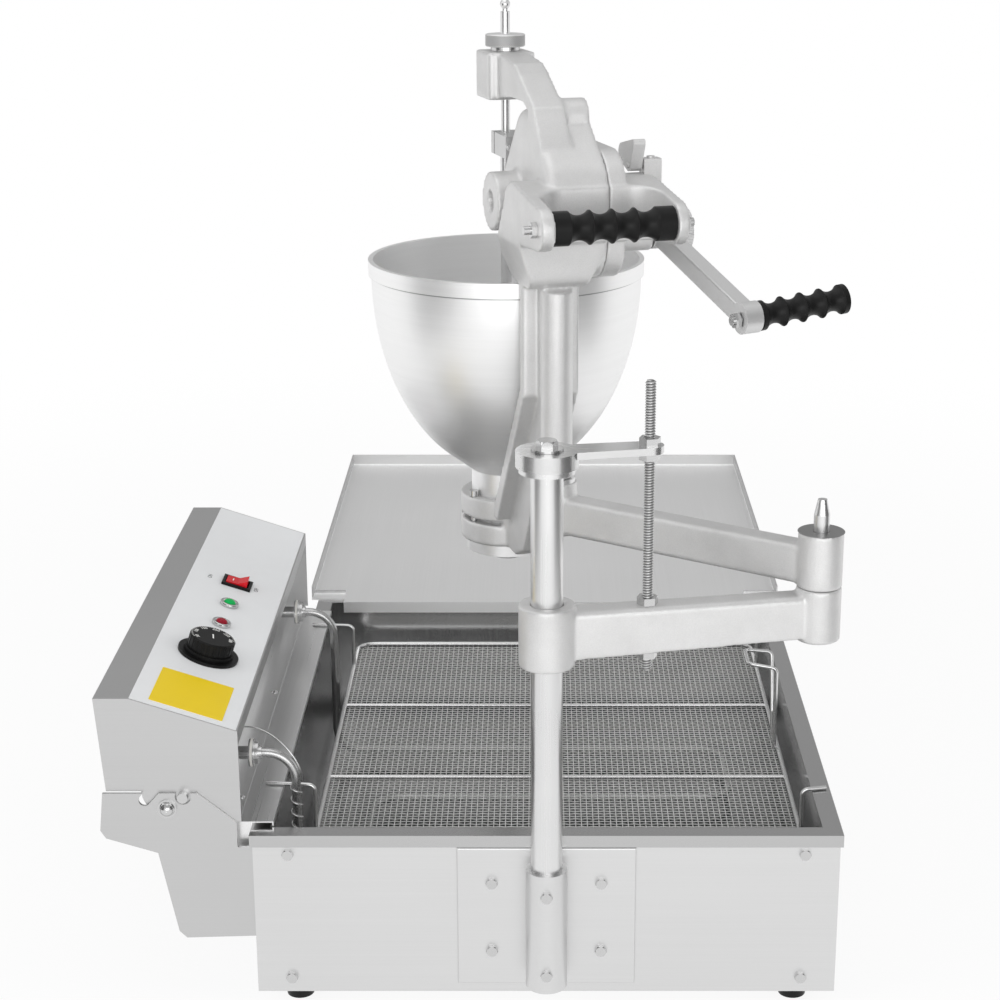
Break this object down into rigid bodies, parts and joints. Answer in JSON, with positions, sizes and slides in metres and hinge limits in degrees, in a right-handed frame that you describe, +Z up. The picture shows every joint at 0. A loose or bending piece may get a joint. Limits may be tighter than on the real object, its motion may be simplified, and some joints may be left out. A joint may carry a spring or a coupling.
{
  "type": "donut maker",
  "caption": "Countertop doughnut fryer: oil tank with heated element and wire screen, tilting control head, drain tray and a swing-arm hopper depositor with hand crank.",
  "frame": {"origin": "middle of the whole machine's footprint, on the floor that the rubber feet stand on", "axes": "+X to the operator's right, +Y from the operator towards the drain tray, +Z up"},
  "size_m": [0.704, 1.2802, 0.915],
  "materials": {
    "stainless_sheet": "brushed stainless sheet",
    "panel_white": "light grey control panel",
    "cast_aluminium": "bead-blasted casting",
    "spun_aluminium": "spun and brushed",
    "chrome_steel": "polished and plated",
    "bolt_steel": "stainless fasteners",
    "wire_steel": "stainless wire",
    "element_steel": "sheathed heating tube",
    "black_rubber": "moulded rubber",
    "black_plastic": "moulded plastic",
    "red_plastic": "red rocker",
    "green_lens": "green lamp lens",
    "red_lens": "dark red lamp lens",
    "dark_steel": "dark bearing washer",
    "gear_steel": "cut gear steel",
    "ivory_plastic": "electrical moulding"
  },
  "bodies": {
    "base": {"fryer_casing": "stainless_sheet", "oil_pan": "stainless_sheet", "front_panel": "stainless_sheet", "panel_bolts": "bolt_steel", "rubber_feet": "black_rubber", "pillar_bracket": "stainless_sheet", "bracket_bolts": "bolt_steel", "sleeve_screws": "bolt_steel", "pillar": "chrome_steel", "tie_bolt": "bolt_steel", "splash_ledge": "stainless_sheet", "side_brace_front": "stainless_sheet", "side_brace_rear": "stainless_sheet", "pivot_bolts": "bolt_steel", "tray_brackets": "stainless_sheet"},
    "control_head": {"head_housing": "stainless_sheet", "head_panel": "panel_white", "latch_pins": "bolt_steel", "mains_gland": "black_plastic", "switch_bezel": "black_plastic", "lamp_green": "green_lens", "lamp_red": "red_lens", "dial_bezel": "black_plastic", "thermostat_body": "ivory_plastic", "power_relay": "ivory_plastic", "terminal_block": "ivory_plastic", "heating_element": "element_steel", "element_glands": "bolt_steel"},
    "rocker": {"switch_rocker": "red_plastic"},
    "knob": {"thermostat_knob": "black_plastic"},
    "screen": {"screen_frame": "wire_steel", "screen_mesh": "wire_steel", "screen_handle": "wire_steel"},
    "tray": {"drain_tray": "stainless_sheet"},
    "lower_swing_arm": {"lower_arm": "cast_aluminium", "elbow_pin": "chrome_steel", "tie_plate": "cast_aluminium", "tie_rod": "bolt_steel", "tie_nuts": "bolt_steel"},
    "upper_swing_arm": {"upper_arm": "cast_aluminium", "swivel_pin": "chrome_steel", "thrust_washer": "dark_steel"},
    "depositor": {"depositor_frame": "cast_aluminium", "gear_cover": "cast_aluminium", "cover_screws": "bolt_steel", "clamp_screw": "bolt_steel", "hopper": "spun_aluminium", "dosing_cylinder": "spun_aluminium", "fixed_grip": "black_rubber", "grip_bolt": "bolt_steel", "stop_tab": "cast_aluminium"},
    "lever": {"stop_lever": "cast_aluminium"},
    "piston": {"plunger": "chrome_steel", "lift_rack": "gear_steel"},
    "nut": {"adjusting_nut": "chrome_steel"},
    "gear": {"drive_gear": "gear_steel"},
    "crank": {"crank_shaft": "gear_steel", "crank_arm": "cast_aluminium", "crank_bolt": "bolt_steel"},
    "grip": {"crank_grip": "black_rubber"}
  },
  "joints": [
    {"name": "control_head_tilt", "type": "hinge", "parent": "base", "child": "control_head", "pos_m": [-0.288, -0.293, 0.201], "axis": [0, -1, 0], "range_deg": [0, 5]},
    {"name": "switch_rock", "type": "hinge", "parent": "control_head", "child": "rocker", "pos_m": [-0.26963, -0.22, 0.29367], "axis": [0, 1, 0], "range_deg": [0, 12]},
    {"name": "thermostat_turn", "type": "hinge", "parent": "control_head", "child": "knob", "pos_m": [-0.26963, -0.428, 0.29367], "axis": [0.314, 0, 0.9494], "range_deg": [0, 300]},
    {"name": "screen_lift", "type": "slide", "parent": "base", "child": "screen", "axis": [0, 0, 1], "range_m": [0, 0.12]},
    {"name": "tray_lift", "type": "slide", "parent": "base", "child": "tray", "axis": [0, 0, 1], "range_m": [0, 0.1]},
    {"name": "lower_arm_swing", "type": "hinge", "parent": "base", "child": "lower_swing_arm", "pos_m": [0.066, -0.61245, 0.386], "axis": [0, 0, 1], "range_deg": [-60, 90]},
    {"name": "upper_arm_swing", "type": "hinge", "parent": "lower_swing_arm", "child": "upper_swing_arm", "pos_m": [0.31444, -0.56461, 0.44], "axis": [0, 0, 1], "range_deg": [-100, 25]},
    {"name": "depositor_swivel", "type": "hinge", "parent": "upper_swing_arm", "child": "depositor", "pos_m": [0.07566, -0.40537, 0.56], "axis": [0, 0, 1], "range_deg": [-85, 90]},
    {"name": "stop_lever_flip", "type": "hinge", "parent": "depositor", "child": "lever", "pos_m": [0.15078, -0.33639, 0.765], "axis": [0.9563, 0.2924, 0], "range_deg": [0, 25]},
    {"name": "crank_turn", "type": "hinge", "parent": "depositor", "child": "crank", "pos_m": [0.1264, -0.36611, 0.70335], "axis": [-0.9563, -0.2924, 0], "range_deg": [0, 85.94]},
    {"name": "gear_turn", "type": "hinge", "parent": "depositor", "child": "gear", "pos_m": [0.06699, -0.32227, 0.73], "axis": [0.9563, 0.2924, 0], "range_deg": [0, 38.21]},
    {"name": "plunger_slide", "type": "slide", "parent": "depositor", "child": "piston", "axis": [0, 0, 1], "range_m": [0, 0.03001]},
    {"name": "nut_turn", "type": "hinge", "parent": "piston", "child": "nut", "pos_m": [0.02538, -0.24088, 0.87], "axis": [0, 0, 1], "continuous": true},
    {"name": "crank_grip_spin", "type": "hinge", "parent": "crank", "child": "grip", "pos_m": [0.25516, -0.51027, 0.65303], "axis": [0.9183, 0.3829, 0.1006], "continuous": true}
  ],
  "couplings": [
    {"joint": "gear_turn", "follows": "crank_turn", "ratio": 0.44444},
    {"joint": "plunger_slide", "follows": "crank_turn", "m_per_rad": 0.02}
  ]
}
